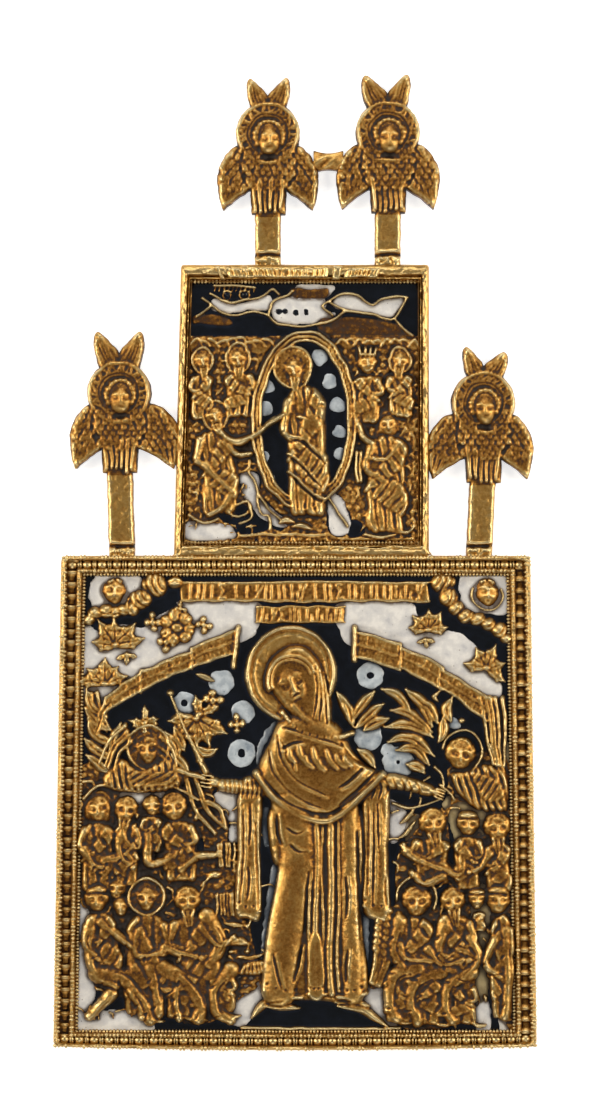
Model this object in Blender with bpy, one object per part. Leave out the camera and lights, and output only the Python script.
"""A cast brass travelling icon: a square plate below, a smaller one above, four winged heads on posts.

It lies on its flat back. X is its width, Y runs from its foot to its top, and Z is its thickness. The
origin is under the middle of its bounding box, on the surface it lies on. The casting is one height
field: each form is drawn on a grid as domes, ridges, patches and grooves, and the grid is then closed
with walls and a flat back. Enamel fills the cells between the raised forms.
"""

import math

import bpy
import numpy as np

MM = 0.001

# Sizes of the two plates, in millimetres
LOWER_HEIGHT = 69.2
LOWER_FOOT_WIDTH = 67.8
LOWER_TOP_WIDTH = 65.7
LOWER_FOOT_BOW = 0.5
FRAME_LEFT = 3.4
FRAME_RIGHT = 3.3
FRAME_TOP = 2.8
FRAME_FOOT = 2.7
UPPER_HEIGHT = 40.8
UPPER_FOOT_WIDTH = 35.8
UPPER_TOP_WIDTH = 34.8
UPPER_OFFSET = 0.9
UPPER_SIDE = 1.6
UPPER_TOP_BAR = 2.6
UPPER_FOOT_BAR = 1.9
CORNER_RADIUS = 0.8

# Sizes of the four winged heads and their posts
HALO_RADIUS = 4.5
CREST_RISE = 8.4
TOP_HALO_RISE = 18.5
SIDE_HALO_RISE = 22.2
TOP_SPACING = 16.8
TOP_OFFSET = 3.7
WING_REACH = 7.4
SIDE_WING_REACH = 6.9
LEFT_INNER_REACH = 8.2
RIGHT_INNER_REACH = 7.6
WING_DROP = 10.6
POST_WIDTH = 3.6
LEFT_POST_SHIFT = 0.4
RIGHT_POST_SHIFT = -0.6
COLLAR_HEIGHT = 1.1
BRIDGE_WIDTH = 2.2
MERGE = 0.4

# Heights above the flat back
FLOOR = 1.6
FRAME_HEIGHT = 3.4
UPPER_FLOOR = 1.4
UPPER_FRAME_HEIGHT = 3.0
HEAD_FLOOR = 1.6
EDGE_ROUND = 0.5

# Border pattern
BEAD_PITCH = 2.05
BEAD_DIAMETER = 1.3
BEAD_RISE = 0.6
RIDGE_WIDTH = 0.9

# Enamel
ENAMEL_GAP = 0.3
ENAMEL_THICKNESS = 0.4
ENAMEL_SHORE = 0.5

# Fineness of the surface
GRID_STEP = 0.26
CASTING_TRIANGLES = 8200
ENAMEL_TRIANGLES_PER_MM2 = 3.0

TOTAL_HEIGHT = LOWER_HEIGHT + UPPER_HEIGHT + TOP_HALO_RISE + CREST_RISE
FOOT_Y = -TOTAL_HEIGHT / 2
LOWER_TOP_Y = FOOT_Y + LOWER_HEIGHT
UPPER_TOP_Y = LOWER_TOP_Y + UPPER_HEIGHT


def smooth_curve(points, closed=False, steps=6):
    """Points on a smooth curve through the given ones."""
    given = np.asarray(points, float)
    if closed:
        given = np.vstack([given[-1:], given, given[:2]])
    else:
        given = np.vstack([2 * given[0] - given[1], given, 2 * given[-1] - given[-2]])
    t = np.linspace(0, 1, steps, endpoint=False)[:, None]
    runs = []
    for a, b, c, d in zip(given[:-3], given[1:-2], given[2:-1], given[3:]):
        bend = (2 * a - 5 * b + 4 * c - d) * t**2 + (3 * b - a - 3 * c + d) * t**3
        runs.append(0.5 * (2 * b + (c - a) * t + bend))
    curve = np.vstack(runs)
    return curve if closed else np.vstack([curve, given[-2]])


def nearest(x, y, line):
    """Distance of each place from a line, and how far along the line its nearest point is, from 0 to 1."""
    start = line[:-1]
    step = line[1:] - start
    length = np.maximum(np.hypot(step[:, 0], step[:, 1]), 1e-9)
    share = np.concatenate([[0], np.cumsum(length)]) / length.sum()
    best = np.full(x.shape, 1e9)
    along = np.zeros(x.shape)
    for i in range(len(start)):
        across_x = x - start[i, 0]
        across_y = y - start[i, 1]
        t = np.clip((across_x * step[i, 0] + across_y * step[i, 1]) / length[i] ** 2, 0, 1)
        distance = np.hypot(across_x - t * step[i, 0], across_y - t * step[i, 1])
        closer = distance < best
        best = np.where(closer, distance, best)
        along = np.where(closer, share[i] + t * (share[i + 1] - share[i]), along)
    return best, along


def depth_inside(x, y, outline):
    """How deep each place lies inside a closed outline; it is negative outside."""
    ring = np.vstack([outline, outline[:1]])
    distance, _ = nearest(x, y, ring)
    inside = np.zeros(x.shape, bool)
    for (ax, ay), (bx, by) in zip(ring[:-1], ring[1:]):
        if ay != by:
            crosses = (ay > y) != (by > y)
            inside ^= crosses & (x < ax + (bx - ax) * (y - ay) / (by - ay))
    return np.where(inside, distance, -distance)


class Surface:
    """The grid that the forms are drawn on: depth inside the silhouette, and height of the front."""

    def __init__(self):
        half_x = max(LOWER_FOOT_WIDTH, LOWER_TOP_WIDTH) / 2 + 2 * LEFT_INNER_REACH
        half_y = TOTAL_HEIGHT / 2 + 2
        across = np.arange(-half_x, half_x, GRID_STEP)
        up = np.arange(-half_y, half_y, GRID_STEP)
        self.left, self.foot = across[0], up[0]
        self.x, self.y = np.meshgrid(across, up)
        self.depth = np.full(self.x.shape, -9.0)
        self.height = np.zeros(self.x.shape)

    def window(self, points, margin):
        """The part of the grid around some points."""
        low = np.floor((np.min(points, axis=0) - margin - (self.left, self.foot)) / GRID_STEP)
        high = np.ceil((np.max(points, axis=0) + margin - (self.left, self.foot)) / GRID_STEP)
        low = np.maximum(low, 0).astype(int)
        high = np.maximum(high, 0).astype(int) + 1
        return slice(low[1], high[1]), slice(low[0], high[0])

    def add_outline(self, outline, floor, rounding=0.0):
        """Makes an area part of the silhouette, with at least this thickness."""
        part = self.window(outline, 2.0)
        depth = depth_inside(self.x[part], self.y[part], outline) + rounding
        self.depth[part] = np.maximum(self.depth[part], depth)
        inside = depth > -2 * GRID_STEP
        self.height[part] = np.where(inside, np.maximum(self.height[part], floor), self.height[part])


class Panel:
    """A field of the casting whose forms are placed by shares of its width and height."""

    def __init__(self, surface, corners, floor, unit):
        self.surface = surface
        self.corners = np.asarray(corners, float)
        self.floor = floor
        self.unit = unit

    def at(self, points):
        u, v = np.asarray(points, float).reshape(-1, 2).T[:, :, None] / 100
        foot_left, foot_right, top_right, top_left = self.corners
        foot = foot_left * (1 - u) + foot_right * u
        top = top_left * (1 - u) + top_right * u
        return foot * (1 - v) + top * v

    def ridge(self, points, width, rise, thin=1.0, closed=False):
        """A rounded ridge along a curve; thin is the share of the width left at its far end."""
        line = smooth_curve(self.at(points), closed)
        if closed:
            line = np.vstack([line, line[:1]])
        half = width * self.unit / 2
        part = self.surface.window(line, half)
        distance, along = nearest(self.surface.x[part], self.surface.y[part], line)
        share = distance / (half * (1 + (thin - 1) * along))
        crown = self.floor + rise * np.sqrt(np.clip(1 - share**2, 0, 1))
        self.lift(part, np.where(share < 1, crown, 0))

    def groove(self, points, width, depth):
        """A rounded groove along a curve."""
        line = smooth_curve(self.at(points))
        half = width * self.unit / 2
        part = self.surface.window(line, half)
        distance, _ = nearest(self.surface.x[part], self.surface.y[part], line)
        cut = depth * np.clip(1 - (distance / half) ** 2, 0, 1)
        height = self.surface.height[part]
        self.surface.height[part] = np.minimum(height, np.maximum(height - cut, self.floor))

    def dome(self, u, v, across, up, rise, turn=0):
        """An oval dome, turned anticlockwise by some degrees."""
        centre = self.at([(u, v)])[0]
        across, up = across * self.unit, up * self.unit
        part = self.surface.window([centre], max(across, up))
        dx, dy = self.surface.x[part] - centre[0], self.surface.y[part] - centre[1]
        c, s = math.cos(math.radians(turn)), math.sin(math.radians(turn))
        share = np.hypot((dx * c + dy * s) / across, (dy * c - dx * s) / up)
        crown = self.floor + rise * np.sqrt(np.clip(1 - share**2, 0, 1))
        self.lift(part, np.where(share < 1, crown, 0))

    def patch(self, points, rise, edge=2.0):
        """An area with a flat middle and a rounded edge."""
        outline = smooth_curve(self.at(points), True)
        part = self.surface.window(outline, GRID_STEP)
        depth = depth_inside(self.surface.x[part], self.surface.y[part], outline)
        share = np.clip(depth / (edge * self.unit), 0, 1)
        crown = self.floor + rise * np.sqrt(1 - (1 - share) ** 2)
        self.lift(part, np.where(depth > 0, crown, 0))

    def dish(self, u, v, radius, rise, rim=1.2):
        """A halo: a flat disc inside a raised rim."""
        self.dome(u, v, radius, radius, rise * 0.5)
        middle = radius - rim / 2
        turn = np.radians(np.arange(0, 360, 30))
        circle = [(u + middle * math.cos(a), v + middle * math.sin(a)) for a in turn]
        self.ridge(circle, rim, rise, closed=True)

    def between(self, first, last, count):
        """Curves that pass gradually from the first to the last."""
        first, last = np.asarray(first, float), np.asarray(last, float)
        for share in (np.arange(count) + 0.5) / count:
            yield first * (1 - share) + last * share

    def ribs(self, first, last, count, width, rise, thin=0.6):
        for line in self.between(first, last, count):
            self.ridge(line, width, rise, thin)

    def folds(self, first, last, count, width, depth):
        for line in self.between(first, last, count):
            self.groove(line, width, depth)

    def lift(self, part, crown):
        inside = self.surface.depth[part] > -2 * GRID_STEP
        self.surface.height[part] = np.maximum(self.surface.height[part], np.where(inside, crown, 0))


def corners_of(foot_y, top_y, foot_width, top_width, foot_x, top_x):
    return np.array([
        (foot_x - foot_width / 2, foot_y),
        (foot_x + foot_width / 2, foot_y),
        (top_x + top_width / 2, top_y),
        (top_x - top_width / 2, top_y),
    ])


def inset(corners, left, right, foot, top):
    """The corners of the field inside a frame."""
    return corners + np.array([(left, foot), (-right, foot), (-right, -top), (left, -top)])


LOWER_CORNERS = corners_of(FOOT_Y, LOWER_TOP_Y, LOWER_FOOT_WIDTH, LOWER_TOP_WIDTH, 0, 0.1)
UPPER_CORNERS = corners_of(
    LOWER_TOP_Y - MERGE,
    UPPER_TOP_Y,
    UPPER_FOOT_WIDTH,
    UPPER_TOP_WIDTH,
    UPPER_OFFSET,
    UPPER_OFFSET + (UPPER_FOOT_WIDTH - UPPER_TOP_WIDTH) / 2,
)
LOWER_FIELD = inset(LOWER_CORNERS, FRAME_LEFT, FRAME_RIGHT, FRAME_FOOT, FRAME_TOP)
UPPER_FIELD = inset(UPPER_CORNERS, UPPER_SIDE, UPPER_SIDE, UPPER_FOOT_BAR + MERGE, UPPER_TOP_BAR)


def upper_side_x(side, y):
    """The X of the upper plate's left (-1) or right (1) edge at a height."""
    foot, top = UPPER_CORNERS[(0, 3) if side < 0 else (1, 2), :]
    return foot[0] + (top[0] - foot[0]) * (y - foot[1]) / (top[1] - foot[1])


def head_places():
    """Each head's halo centre, the shift and foot of its post, and its wings' reach."""
    top_y = UPPER_TOP_Y + TOP_HALO_RISE
    side_y = LOWER_TOP_Y + SIDE_HALO_RISE
    centre = UPPER_OFFSET + TOP_OFFSET
    left_x = upper_side_x(-1, side_y) - LEFT_INNER_REACH
    right_x = upper_side_x(1, side_y) + RIGHT_INNER_REACH
    left_reach, right_reach = LEFT_INNER_REACH + MERGE, RIGHT_INNER_REACH + MERGE
    return [
        (centre - TOP_SPACING / 2, top_y - 0.2, 0, UPPER_TOP_Y, WING_REACH, WING_REACH),
        (centre + TOP_SPACING / 2, top_y, 0, UPPER_TOP_Y, WING_REACH, WING_REACH),
        (left_x, side_y + 0.6, LEFT_POST_SHIFT, LOWER_TOP_Y, SIDE_WING_REACH, left_reach),
        (right_x, side_y - 0.8, RIGHT_POST_SHIFT, LOWER_TOP_Y, right_reach, SIDE_WING_REACH),
    ]


def wing_outline(side, reach):
    """The outline of one side wing about the halo's centre: shoulder, flank, pointed tip, scalloped hem."""
    r = HALO_RADIUS
    shape = [
        (0.30 * r, -0.30 * r),
        (0.92 * r, -0.52 * r),
        (reach * 0.86, -0.66 * r),
        (reach * 0.99, -1.05 * r),
        (reach, -1.60 * r),
        (reach * 0.93, -0.88 * WING_DROP),
        (reach * 0.84, -WING_DROP),
        (reach * 0.66, -0.90 * WING_DROP),
        (0.66 * r, -0.75 * WING_DROP),
        (0.25 * r, -0.72 * WING_DROP),
    ]
    return [(side * x, y) for x, y in shape]


def crest_outline(side, rise):
    """One of the two upright wings above the halo."""
    r = HALO_RADIUS
    shape = [
        (-0.12 * r, 0.85 * r),
        (0.10 * r, rise * 0.72),
        (0.36 * r, rise * 0.92),
        (0.60 * r, rise * 0.987),
        (0.78 * r, rise * 0.92),
        (0.76 * r, rise * 0.75),
        (0.58 * r, 0.70 * r),
    ]
    return [(side * x, y) for x, y in shape]


def post_sizes(halo_y, post_foot):
    """The post's top, from which the feathered skirt hangs over it."""
    return halo_y - WING_DROP - 0.8, post_foot - MERGE


def outline_head(surface, place):
    """The silhouette of one winged head with its post."""
    x, y, post_shift, post_foot, left_reach, right_reach = place
    shift = np.array([x, y])
    r = HALO_RADIUS
    turn = np.linspace(0, 2 * math.pi, 40, endpoint=False)
    circle = np.column_stack([r * np.cos(turn), r * np.sin(turn)]) + shift
    surface.add_outline(circle, HEAD_FLOOR)
    for side, reach in ((-1, left_reach), (1, right_reach)):
        surface.add_outline(smooth_curve(wing_outline(side, reach), True) + shift, HEAD_FLOOR)
        surface.add_outline(smooth_curve(crest_outline(side, CREST_RISE), True) + shift, HEAD_FLOOR)
    top, foot = post_sizes(y, post_foot)
    hem = 0.62 * POST_WIDTH
    skirt = [(-0.7 * r, -0.9 * r), (0.7 * r, -0.9 * r), (hem, top - y), (-hem, top - y)]
    surface.add_outline(np.array(skirt) + shift, HEAD_FLOOR)
    half = POST_WIDTH / 2
    foot_x = x + post_shift
    post = [(foot_x - half, foot), (foot_x + half, foot), (x + half, top + 2), (x - half, top + 2)]
    surface.add_outline(np.array(post), HEAD_FLOOR)


def outline_bridge(surface, places):
    """The bar cast between the two upper heads."""
    left, right = places[0], places[1]
    start, end = left[0] + left[5] - 2 * MERGE, right[0] - right[4] + 2 * MERGE
    y = left[1] - 0.87 * HALO_RADIUS
    half = BRIDGE_WIDTH / 2
    bar = [(start, y - half), (end, y - half), (end, y + half), (start, y + half)]
    surface.add_outline(np.array(bar), HEAD_FLOOR)


def outline_plates(surface):
    radius = CORNER_RADIUS
    steps = np.linspace(0, 1, 9)[:, None]
    foot = LOWER_CORNERS[0] * (1 - steps) + LOWER_CORNERS[1] * steps
    foot[:, 1] += LOWER_FOOT_BOW * (2 * steps[:, 0] - 1) ** 2
    lower = np.vstack([foot, LOWER_CORNERS[2:]])
    middle = lower.mean(axis=0)
    surface.add_outline(lower + radius * np.sign(middle - lower), FLOOR, radius)
    middle = UPPER_CORNERS.mean(axis=0)
    surface.add_outline(UPPER_CORNERS + radius * np.sign(middle - UPPER_CORNERS), UPPER_FLOOR, radius)


def carve_head(surface, place):
    """Halo, face, feathers and post of one winged head."""
    x, y, post_shift, post_foot, left_reach, right_reach = place
    r = HALO_RADIUS
    corners = np.array([(x, y), (x + 100, y), (x + 100, y + 100), (x, y + 100)])
    panel = Panel(surface, corners, HEAD_FLOOR, 1.0)
    panel.dish(0, 0, r - 0.1, 0.9, rim=0.9)
    panel.dish(0, -0.1, 0.62 * r, 0.8, rim=0.5)
    for side, reach in ((-1, left_reach), (1, right_reach)):
        flank = side * reach * 0.84
        outer = [(side * 0.5 * r, -0.62 * r), (flank, -r), (flank, -0.93 * WING_DROP)]
        hem = (side * 0.5 * r, -0.72 * WING_DROP)
        inner = [(side * 0.3 * r, -0.9 * r), (side * 0.45 * r, -1.4 * r), hem]
        panel.ribs(outer, inner, 4, 1.5, 0.8)
        crest_foot, crest_tip = (side * 0.2 * r, 0.98 * r), (side * 0.55 * r, CREST_RISE * 0.93)
        panel.ridge([crest_foot, crest_tip], 2.0, 0.8, 0.7)
    for row in range(4):
        spread = (row % 2) * 0.5
        for step in range(-1, 2):
            place_x = (step + spread) * 0.36 * r
            panel.dome(place_x, -(1.05 + 0.28 * row) * r, 0.8, 0.95, 1.25)
    panel.dome(0, -0.12 * r, 0.36 * r, 0.46 * r, 1.7)
    for side in (-1, 1):
        panel.dome(side * 0.3 * r, 0.05 * r, 0.16 * r, 0.3 * r, 1.2)
    top, foot = post_sizes(y, post_foot)
    panel.patch([(-0.4 * r, -1.9 * r), (0.4 * r, -1.9 * r), (1.9, top - y), (-1.9, top - y)], 0.9, 0.6)
    for side in (-1, 1):
        edge = side * (POST_WIDTH / 2 - 0.45)
        panel.ridge([(edge, top - y), (edge + post_shift, foot - y)], 0.8, 0.9)
    panel.ridge([(0, top - y), (post_shift, foot - y)], POST_WIDTH - 1.0, 0.5)
    collar = foot - y + MERGE + COLLAR_HEIGHT / 2
    left, right = post_shift - POST_WIDTH / 2, post_shift + POST_WIDTH / 2
    panel.ridge([(left, collar), (right, collar)], COLLAR_HEIGHT, 1.0)


def in_millimetres(surface, floor):
    """A panel whose shares are plain millimetres in the object's own frame."""
    return Panel(surface, [(0, 0), (100, 0), (100, 100), (0, 100)], floor, 1.0)


def frame_lower(surface):
    """The lower plate's border: a rim, a channel with beads, and an inner ridge."""
    panel = in_millimetres(surface, FLOOR)
    rise = FRAME_HEIGHT - FLOOR
    channel = rise * 0.45
    widths = (FRAME_FOOT, FRAME_RIGHT, FRAME_TOP, FRAME_LEFT)
    for i, width in enumerate(widths):
        start, end = LOWER_CORNERS[i], LOWER_CORNERS[(i + 1) % 4]
        inner_start, inner_end = LOWER_FIELD[i], LOWER_FIELD[(i + 1) % 4]
        bow = np.array([0, -LOWER_FOOT_BOW if i == 0 else 0.0])
        for share, height in ((RIDGE_WIDTH / 2 / width + 0.04, rise), (0.97, rise * 0.9)):
            a = start * (1 - share) + inner_start * share
            b = end * (1 - share) + inner_end * share
            middle = (a + b) / 2 + bow * (1 - share)
            panel.ridge([a, middle, b], RIDGE_WIDTH, height)
        a, b = (start + inner_start) / 2, (end + inner_end) / 2
        panel.ridge([a, b], width * 0.8, channel)
        count = int(np.hypot(*(b - a)) // BEAD_PITCH)
        for step in range(count + 1):
            u, v = a + (b - a) * step / count
            panel.dome(u, v, BEAD_DIAMETER / 2, BEAD_DIAMETER / 2, channel + BEAD_RISE)


def frame_upper(surface):
    """The upper plate's plain rounded border, with raised blocks along its top bar."""
    panel = in_millimetres(surface, UPPER_FLOOR)
    rise = UPPER_FRAME_HEIGHT - UPPER_FLOOR
    widths = (UPPER_FOOT_BAR, UPPER_SIDE, UPPER_TOP_BAR, UPPER_SIDE)
    for i, width in enumerate(widths):
        a = (UPPER_CORNERS[i] + UPPER_FIELD[i]) / 2
        b = (UPPER_CORNERS[(i + 1) % 4] + UPPER_FIELD[(i + 1) % 4]) / 2
        if i == 0:
            a, b = a + (0, MERGE / 2), b + (0, MERGE / 2)
        panel.ridge([a, b], width, rise)
    top = UPPER_TOP_Y - UPPER_TOP_BAR * 0.35
    left = upper_side_x(-1, top)
    for start, end in ((0.14, 0.17), (0.2, 0.6), (0.64, 0.68), (0.7, 0.86)):
        block = [(left + start * UPPER_TOP_WIDTH, top), (left + end * UPPER_TOP_WIDTH, top)]
        panel.ridge(block, 0.46 * UPPER_TOP_BAR, rise + 0.2)


def head(panel, u, v, size, rise, halo=0.0):
    """A small head with its cap of hair, and a halo behind it where it has one."""
    if halo:
        panel.dish(u, v + 0.2 * size, halo, rise * 0.75, rim=0.9)
    panel.dome(u, v, size * 0.78, size, rise)
    panel.dome(u, v + 0.3 * size, size * 0.95, size * 0.8, rise * 0.88)
    panel.groove([(u - 0.5 * size, v + 0.1 * size), (u + 0.5 * size, v + 0.1 * size)], 0.35 * size, 0.18)


def bust(panel, u, v, width, height, rise):
    """Shoulders and a gown below a head, with folds that fall from the neck."""
    left, right = u - width / 2, u + width / 2
    foot = v - height
    shape = [
        (u, v),
        (left + 0.1 * width, v - 0.16 * height),
        (left, foot + 0.1 * height),
        (left + 0.3 * width, foot),
        (right - 0.2 * width, foot),
        (right, foot + 0.2 * height),
        (right - 0.08 * width, v - 0.2 * height),
    ]
    panel.patch(shape, rise, width * 0.3)
    first = [(u - 0.1 * width, v - 0.2 * height), (left + 0.25 * width, foot + 0.1 * height)]
    last = [(u + 0.1 * width, v - 0.2 * height), (right - 0.25 * width, foot + 0.1 * height)]
    panel.folds(first, last, 3, 0.16 * width, 0.4)


def carve_centre(panel):
    """The standing figure with a halo, a mantle, spread arms and hanging drapes."""
    panel.dish(48.8, 78.5, 10.6, 1.7, rim=1.6)
    panel.dome(49.5, 76.5, 4.6, 6.6, 2.5, 18)
    panel.dome(48.6, 76.4, 2.7, 4.2, 2.8, 18)
    robe = [(45, 48), (44.6, 38), (47, 32), (44, 20), (43, 7.5), (66, 7.5), (64.5, 30), (64, 48)]
    panel.patch(robe, 1.6, 3)
    mantle = [(47, 68), (43, 63), (40.5, 56), (46, 50), (51, 47)]
    mantle += [(57, 46), (63, 49), (70.5, 55.5), (63, 61), (58, 68)]
    panel.patch(mantle, 2.1, 4)
    panel.ridge([(41, 56), (46, 50.5), (52, 47), (58, 46.8), (63, 50), (70, 55.5)], 2.2, 2.6)
    panel.folds([(51, 66), (54, 60), (62, 57)], [(45, 63), (48, 54), (60, 51)], 4, 1.2, 0.5)
    panel.ridge([(43, 53.5), (37, 53.5), (31, 54)], 4.6, 2.0, 0.7)
    panel.dome(29.5, 54.4, 2.4, 1.6, 1.9)
    panel.ridge([(66, 53), (72, 54.5), (80, 53)], 4.4, 2.0, 0.7)
    panel.dome(82, 52.6, 2.2, 1.6, 1.9)
    panel.ribs([(38, 50), (38, 38), (37.5, 27)], [(41.5, 50), (41.5, 38), (42, 26)], 3, 1.6, 1.5, 0.9)
    panel.ribs([(66.5, 49), (66.5, 38), (66.5, 27)], [(71, 49), (71, 38), (71.5, 27)], 3, 1.7, 1.5, 0.9)
    leg = [(49, 46), (50.5, 40), (51, 35), (47.5, 24), (45.5, 10), (53, 10), (53.5, 26), (53, 44)]
    panel.patch(leg, 2.1, 2.5)
    panel.folds([(54, 46), (54.5, 26), (54.5, 9)], [(64, 46), (64, 26), (64.5, 9)], 4, 1.0, 0.6)
    panel.ridge([(44, 8.6), (50, 7.4), (60, 7.4), (66, 8.4)], 1.6, 2.0)
    panel.ridge([(40, 5), (44, 5.8), (48, 5)], 2.6, 1.5, 0.6)
    panel.ridge([(60, 3.4), (64, 4.6), (67, 3)], 2.8, 1.5, 0.6)


def carve_sky(panel):
    """Title tablets, cloud scrolls, the two corner discs, banners and flowers."""
    panel.ridge([(23.5, 96.4), (52, 96.4), (80.5, 96.4)], 4.2, 1.2)
    panel.ridge([(41.5, 91.4), (51, 91.4), (60.5, 91.4)], 3.6, 1.2)
    for u, v in ((7, 96), (95.5, 95.7)):
        panel.dome(u, v, 2.9, 3.0, 1.5)
    left_cloud = [(17, 98), (13, 94.5), (9, 92.4), (5, 92.4), (1.5, 90.6)]
    right_cloud = [(84.5, 98.4), (86.5, 94.6), (90.5, 91.2), (95, 89.2), (98.5, 87.8)]
    for cloud in (left_cloud, right_cloud):
        for u, v in cloud:
            panel.dome(u, v, 2.2, 2.0, 1.8)
    left_banner = [((5, 77), (14.5, 80)), ((13.8, 81), (26, 84)), ((25.5, 83.5), (36, 87))]
    right_banner = [((65, 87), (74.5, 84.5)), ((74.5, 83.2), (84, 79)), ((83.5, 78.4), (94.5, 72))]
    for banner in (left_banner, right_banner):
        for (u0, v0), (u1, v1) in banner:
            low = [(u0, v0 - 6.4), (u1, v1 - 6)]
            high = [(u0, v0), (u1, v1 + 0.6)]
            for line in panel.between(low, high, 2):
                panel.ridge(line, 3.6, 1.3)
            for line in (low, high):
                panel.ridge(line, 0.8, 1.7)
    panel.ridge([(35.6, 80), (36.2, 88)], 1.8, 1.7)
    panel.ridge([(64, 82), (64, 88)], 1.8, 1.7)
    flower = 3.6
    for u, v in ((8.5, 86.5), (22.5, 89.2), (80, 89.5), (31, 68.5), (66, 71.5)):
        for angle in range(18, 378, 72):
            turn = math.radians(angle)
            tip = (u + flower * math.cos(turn), v + flower * math.sin(turn))
            panel.ridge([(u, v), tip], 0.62 * flower, 1.3, 0.5)
        panel.dome(u, v, 0.35 * flower, 0.35 * flower, 1.5)
    panel.ribs([(70.5, 75), (74, 74), (77.5, 70)], [(71, 66.5), (76, 66.5), (82, 63)], 4, 1.3, 1.2, 0.3)
    panel.ribs([(97, 73), (98.2, 66), (98, 58)], [(91.5, 72), (95, 66), (96.5, 59)], 3, 1.5, 1.4, 0.4)
    panel.ridge([(21, 73), (24.5, 65.5), (28, 58)], 0.9, 1.5)


def carve_company(panel):
    """The angels and the people at both sides of the central figure, in four groups."""
    head(panel, 15.5, 61, 3.2, 2.0, halo=5.2)
    bust(panel, 14.5, 58, 15, 5.5, 1.6)
    panel.ribs([(9, 66), (6, 63), (4.5, 59)], [(11, 63), (9, 60), (8, 57.5)], 3, 1.4, 1.4)
    head(panel, 88.5, 60.5, 3.0, 2.0, halo=4.7)
    bust(panel, 93, 58, 12, 8, 1.6)
    for u, v, size, width, height in (
        (4, 48.5, 2.8, 8, 14),
        (10.5, 48, 2.3, 6, 12),
        (16.5, 49, 1.9, 5, 8),
        (21.5, 48.5, 2.6, 8, 14),
        (82, 45, 2.7, 8, 10),
        (90, 45, 2.2, 7, 11),
        (97, 44, 2.7, 6, 14),
        (8.5, 31, 2.1, 5, 6),
        (3.8, 28.5, 2.4, 7, 12),
        (25, 28, 2.5, 8, 13),
        (86.5, 28, 2.4, 8, 13),
        (92, 28.5, 1.9, 5, 8),
        (97, 28, 2.5, 6, 13),
    ):
        bust(panel, u, v - 0.7 * size, width, height, 1.5)
        head(panel, u, v, size, 1.9)
    bust(panel, 16.5, 25.5, 9, 12, 1.5)
    head(panel, 15.5, 28.6, 2.6, 2.0, halo=4.4)
    bust(panel, 77, 25, 9, 13, 1.5)
    head(panel, 78, 28, 2.8, 2.0, halo=4.4)
    panel.ribs([(70, 27), (68.6, 19), (67.4, 10.5)], [(73, 25), (71.6, 19), (69.6, 10)], 3, 1.5, 1.4)
    for arm in (
        [(15.7, 42), (16, 36.5), (20, 37.5), (24, 39)],
        [(6, 38), (11, 38.6), (14, 41)],
        [(24, 36), (28, 39), (31, 38.5)],
        [(76, 39), (80, 37.6), (88, 34.5), (89, 39)],
        [(5, 24), (9, 20), (13.5, 16.5), (20, 17.5), (28, 16)],
        [(74, 18), (82, 15.2), (90, 15.4)],
        [(90, 21), (92, 15), (87, 10.5)],
        [(33, 23), (33.5, 16), (33, 9)],
        [(24, 57), (26.5, 48), (31, 44.5)],
        [(73.5, 42), (76, 43), (79, 46.5)],
    ):
        panel.ridge(arm, 2.2, 1.8, 0.8)
    for foot in (5, 17, 25, 76, 83, 96):
        first = [(foot - 3, 13), (foot - 4.5, 8), (foot - 3.5, 3)]
        last = [(foot + 3.5, 13), (foot + 3, 8), (foot + 4.5, 3)]
        panel.ribs(first, last, 4, 1.8, 1.4, 0.9)
    panel.ribs([(31.5, 30), (31.5, 26)], [(36, 30), (36, 26)], 4, 0.9, 1.2)
    panel.ribs([(31.5, 41), (32, 36)], [(36, 41), (36, 36)], 4, 0.9, 1.2)
    panel.dome(39.5, 14, 3.6, 1.8, 1.4)
    panel.dome(36, 19.4, 3.2, 1.5, 1.4)


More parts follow.
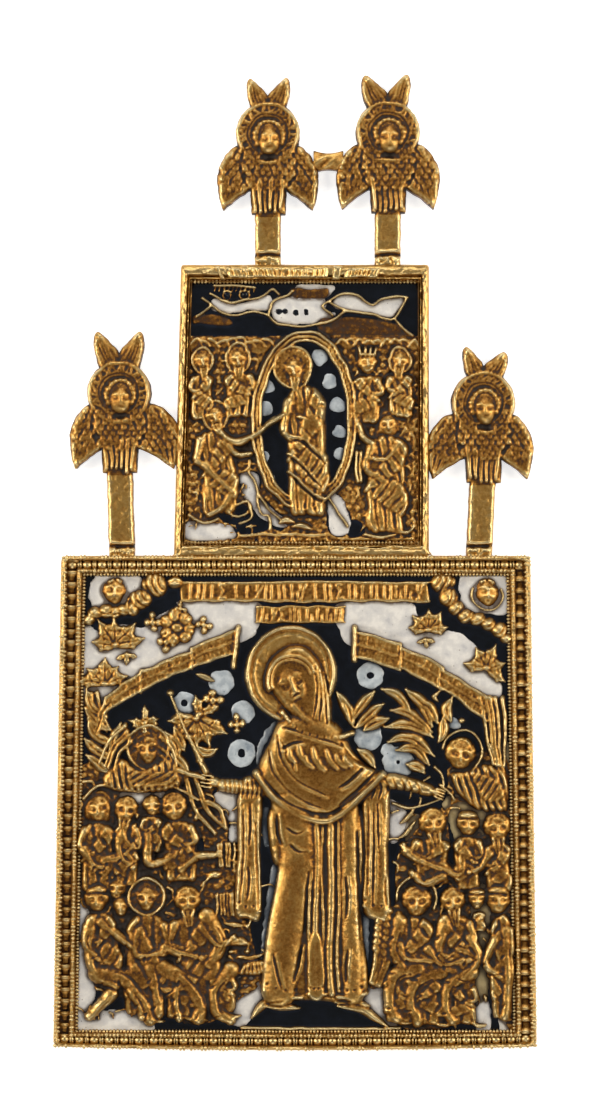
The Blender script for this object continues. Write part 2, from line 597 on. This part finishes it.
def carve_upper(panel):
    """A hilly sky above; below it a figure in an almond ring, with a company at each side."""
    hills = [(5, 94), (14, 89), (24, 88.5), (33, 88), (40, 84)]
    hills += [(57, 84), (67, 88.6), (80, 88), (89, 86.6), (96, 94)]
    panel.ridge(hills, 2.2, 1.1)
    panel.ridge([(11, 94.5), (20, 92.6), (28, 94), (35, 97.5)], 1.8, 1.1)
    panel.ridge([(60.5, 93), (68, 96), (75, 95), (80, 91.6), (84, 94), (94, 94.6)], 1.8, 1.1)
    panel.ridge([(2, 76), (20, 78), (35, 76)], 2.4, 1.0)
    panel.ridge([(70, 76), (85, 78), (98, 76)], 2.4, 1.0)
    turns = np.radians(np.arange(0, 360, 20))
    almond = [(50.5 + 21.5 * math.cos(a), 47 + 32.5 * math.sin(a)) for a in turns]
    panel.ridge(almond, 4.4, 1.5, closed=True)
    panel.dish(45.5, 67, 8.8, 1.4, rim=1.6)
    robe = [(41, 58), (41, 40), (42, 24), (44, 11), (56, 12), (62, 20), (60, 40), (58, 57), (50, 61)]
    panel.patch(robe, 1.5, 5)
    panel.folds([(44, 54), (45, 34), (46, 14)], [(57, 54), (59, 36), (57, 16)], 4, 1.6, 0.5)
    panel.dome(46, 66, 4.2, 5.4, 2.1)
    panel.ridge([(45, 51), (38, 47), (32, 44)], 4.0, 1.7, 0.7)
    panel.ridge([(41, 8), (46, 8), (58, 9)], 3.0, 1.3)
    for u, v, size, halo, width, height in (
        (5.5, 69.5, 3.6, 5.2, 9, 16),
        (21, 70, 3.8, 5.6, 12, 14),
        (11, 48.5, 3.8, 5.8, 18, 30),
        (78, 69, 3.8, 0, 11, 18),
        (92, 69.5, 3.6, 5.4, 9, 16),
        (87, 45.5, 3.8, 0, 17, 26),
    ):
        bust(panel, u, v - 0.6 * size, width, height, 1.3)
        head(panel, u, v, size, 1.7, halo=halo)
    for arm in ([(13, 42), (22, 38.5), (29, 41), (35, 46)], [(80, 38), (76, 42), (73, 48)]):
        panel.ridge(arm, 3.2, 1.5, 0.7)
    panel.folds([(3, 38), (6, 28), (4, 18)], [(16, 36), (20, 26), (24, 14)], 5, 1.6, 0.6)
    panel.ribs([(4, 17), (10, 12), (22, 16)], [(8, 10), (14, 9), (26, 12)], 2, 2.0, 1.0)
    panel.ribs([(76, 21), (76, 12), (77, 4)], [(90, 21), (92, 12), (93, 4)], 4, 2.6, 1.2)
    panel.ridge([(24, 2.5), (42, 2.5), (60, 2.5)], 3.0, 1.0)


def boundary_shift(x, y, depth):
    """Moves for the rim's points that bring them onto the silhouette."""
    slope_y, slope_x = np.gradient(depth, GRID_STEP)
    steep = np.maximum(np.hypot(slope_x, slope_y), 1e-6)
    move = np.clip(-depth, -GRID_STEP, GRID_STEP)
    return x + move * slope_x / steep, y + move * slope_y / steep


def whole_cells(kept):
    """The grid's cells that have all four corners kept."""
    return kept[:-1, :-1] & kept[1:, :-1] & kept[:-1, 1:] & kept[1:, 1:]


def without_pinches(cells):
    """The cells without those that meet the rest at a single corner, where a mesh would touch itself."""
    cells = cells.copy()
    while True:
        a, b, c, d = cells[:-1, :-1], cells[:-1, 1:], cells[1:, :-1], cells[1:, 1:]
        falling = a & d & ~b & ~c
        rising = b & c & ~a & ~d
        if not (falling.any() or rising.any()):
            return cells
        cells[1:, 1:] &= ~falling
        cells[1:, :-1] &= ~rising


def linked(cells, start):
    """The cells that are joined, side by side, to the starting one."""
    found = start & cells
    while True:
        grown = widened(found, 1) & cells
        if (grown == found).all():
            return found
        found = grown


def closed_mesh(name, x, y, cells, depth, front, back):
    """A closed mesh over some of the grid's cells, with its rim moved onto the outline."""
    number = np.arange(x.size).reshape(x.shape)
    quads = np.stack([number[:-1, :-1], number[:-1, 1:], number[1:, 1:], number[1:, :-1]], axis=-1)[cells]
    edges = np.concatenate([quads[:, [i, (i + 1) % 4]] for i in range(4)])
    key = edges[:, 0].astype(np.int64) * x.size + edges[:, 1]
    twin = edges[:, 1].astype(np.int64) * x.size + edges[:, 0]
    rim = edges[~np.isin(key, twin)]
    moved_x, moved_y = boundary_shift(x, y, depth)
    on_rim = np.zeros(x.size, bool)
    on_rim[rim.ravel()] = True
    plan_x = np.where(on_rim, moved_x.ravel(), x.ravel())
    plan_y = np.where(on_rim, moved_y.ravel(), y.ravel())
    used, index = np.unique(quads, return_inverse=True)
    quads = index.reshape(quads.shape)
    rim = np.searchsorted(used, rim)
    count = len(used)
    plan = np.column_stack([plan_x[used], plan_y[used]])
    points = np.vstack([
        np.column_stack([plan, front.ravel()[used]]),
        np.column_stack([plan, np.full(count, back)]),
    ])
    walls = np.column_stack([rim[:, 1], rim[:, 0], rim[:, 0] + count, rim[:, 1] + count])
    faces = np.vstack([quads, quads[:, ::-1] + count, walls])
    mesh = bpy.data.meshes.new(name)
    mesh.from_pydata((points * MM).tolist(), [], faces.tolist())
    mesh.update()
    return mesh


def add_object(name, mesh, material, triangles):
    mesh.materials.append(material)
    body = bpy.data.objects.new(name, mesh)
    bpy.context.collection.objects.link(body)
    thin = body.modifiers.new("Decimate", "DECIMATE")
    thin.ratio = min(1.0, triangles / (2 * len(mesh.polygons)))
    mesh.shade_smooth()
    mesh.set_sharp_from_angle(angle=math.radians(35))
    return body


def material(name, colour, metallic, roughness):
    made = bpy.data.materials.new(name)
    made.use_nodes = True
    shader = made.node_tree.nodes["Principled BSDF"]
    shader.inputs["Base Color"].default_value = (*colour, 1)
    shader.inputs["Metallic"].default_value = metallic
    shader.inputs["Roughness"].default_value = roughness
    return made


def blurred(field, times=2):
    for _ in range(times):
        wide = np.pad(field, 1, mode="edge")
        field = (wide[:-2, 1:-1] + wide[2:, 1:-1] + wide[1:-1, :-2] + wide[1:-1, 2:] + 4 * field) / 8
    return field


def widened(mask, cells):
    for _ in range(cells):
        wide = np.pad(mask, 1)
        mask = wide[:-2, 1:-1] | wide[2:, 1:-1] | wide[1:-1, :-2] | wide[1:-1, 2:] | mask
    return mask


def cell_around(surface, panel, part, seed, outline):
    """The open ground around a seed point, inside an area and clear of the raised forms."""
    x, y = surface.x[part], surface.y[part]
    raised = surface.height[part] > panel.floor + 0.02
    clear = ~widened(raised, math.ceil(ENAMEL_SHORE / GRID_STEP))
    clear &= depth_inside(x, y, outline) > 0
    cells = without_strands(whole_cells(clear))
    seed_x, seed_y = panel.at([seed])[0]
    away = np.hypot(x - seed_x, y - seed_y)[:-1, :-1]
    away = np.where(cells, away, 1e9)
    return without_pinches(linked(cells, away == away.min()))


def without_strands(cells):
    """The cells that belong to a block of two by two, so that no strand is one cell wide."""
    block = np.pad(whole_cells(cells), 1)
    return block[1:, 1:] | block[1:, :-1] | block[:-1, 1:] | block[:-1, :-1]


def enamel_fill(surface, panel, name, seed, area, finish):
    """One fused pool of enamel: a thin closed solid over the floor of its cell."""
    outline = smooth_curve(panel.at(area), True)
    part = surface.window(outline, GRID_STEP)
    cells = cell_around(surface, panel, part, seed, outline)
    x, y = surface.x[part], surface.y[part]
    wide = np.pad(cells, 1)
    corners = wide[1:, 1:].astype(float) + wide[1:, :-1] + wide[:-1, 1:] + wide[:-1, :-1]
    depth = (blurred(corners / 4) - 0.75) * 2 * GRID_STEP
    back = panel.floor + ENAMEL_GAP
    front = np.full(x.shape, back + ENAMEL_THICKNESS)
    mesh = closed_mesh(name, x, y, cells, depth, front, back)
    add_object(name, mesh, finish, 60 + ENAMEL_TRIANGLES_PER_MM2 * cells.sum() * GRID_STEP**2)


# Seed point and bounding area of each enamel pool, in shares of its field
WHITE_BELOW = {
    "sky_left": ((37, 91), [(26, 94), (42, 94), (42, 87), (26, 87)]),
    "sky_right": ((70, 91), [(60, 94), (78, 94), (76, 88), (62, 89)]),
    "lap_left": ((40, 8.5), [(35, 11), (44, 11), (42, 2), (35, 2)]),
    "foot_right": ((70, 4), [(67, 9), (73, 9), (73, 1), (67, 1)]),
}
DARK_BELOW = {
    "ground_left": ((43.3, 36), [(42, 48), (45, 48), (45, 24), (42, 24)]),
    "halo_left": ((37, 73), [(33, 79), (40, 79), (42, 66), (33, 62)]),
    "halo_right": ((62, 71), [(60, 75), (65, 75), (65, 67), (59, 67)]),
    "foot_middle": ((54, 2.6), [(48, 5), (60, 5), (60, 1), (48, 1)]),
}
WHITE_ABOVE = {
    "sky_middle": ((50, 90), [(38, 96), (60, 96), (62, 86), (38, 86)]),
    "foot_left": ((12, 4), [(0, 8), (22, 8), (22, 0), (0, 0)]),
}
DARK_ABOVE = {
    "almond_right": ((66, 45), [(60, 70), (72, 60), (70, 30), (62, 24)]),
    "almond_left": ((35, 56), [(28, 60), (42, 66), (42, 52), (30, 50)]),
}


def build():
    for old in list(bpy.data.objects):
        bpy.data.objects.remove(old)
    surface = Surface()
    places = head_places()
    outline_plates(surface)
    for place in places:
        outline_head(surface, place)
    outline_bridge(surface, places)
    upper_unit = (UPPER_FIELD[1, 0] - UPPER_FIELD[0, 0]) / 100
    lower_unit = (LOWER_FIELD[1, 0] - LOWER_FIELD[0, 0]) / 100
    upper = Panel(surface, UPPER_FIELD, UPPER_FLOOR, upper_unit)
    lower = Panel(surface, LOWER_FIELD, FLOOR, lower_unit)
    carve_sky(lower)
    carve_company(lower)
    carve_centre(lower)
    carve_upper(upper)
    frame_upper(surface)
    frame_lower(surface)
    for place in places:
        carve_head(surface, place)
    rim_share = np.clip(surface.depth / EDGE_ROUND, 0, 1)
    rim_drop = 0.5 * (1 - np.sqrt(1 - (1 - rim_share) ** 2))
    front = np.maximum(blurred(surface.height, 1) - rim_drop, 0.8)
    brass = material("gilt_brass", (0.56, 0.36, 0.11), 1.0, 0.34)
    kept = surface.depth > -0.45 * GRID_STEP
    cells = without_pinches(whole_cells(kept))
    mesh = closed_mesh("icon_casting", surface.x, surface.y, cells, surface.depth, front, 0.0)
    add_object("icon_casting", mesh, brass, CASTING_TRIANGLES)
    white = material("white_enamel", (0.58, 0.55, 0.50), 0.0, 0.28)
    dark = material("dark_enamel", (0.006, 0.008, 0.014), 0.0, 0.12)
    for panel, fills, prefix, finish in (
        (lower, WHITE_BELOW, "white_enamel_lower_", white),
        (lower, DARK_BELOW, "dark_enamel_lower_", dark),
        (upper, WHITE_ABOVE, "white_enamel_upper_", white),
        (upper, DARK_ABOVE, "dark_enamel_upper_", dark),
    ):
        for where, (seed, area) in fills.items():
            enamel_fill(surface, panel, prefix + where, seed, area, finish)


build()
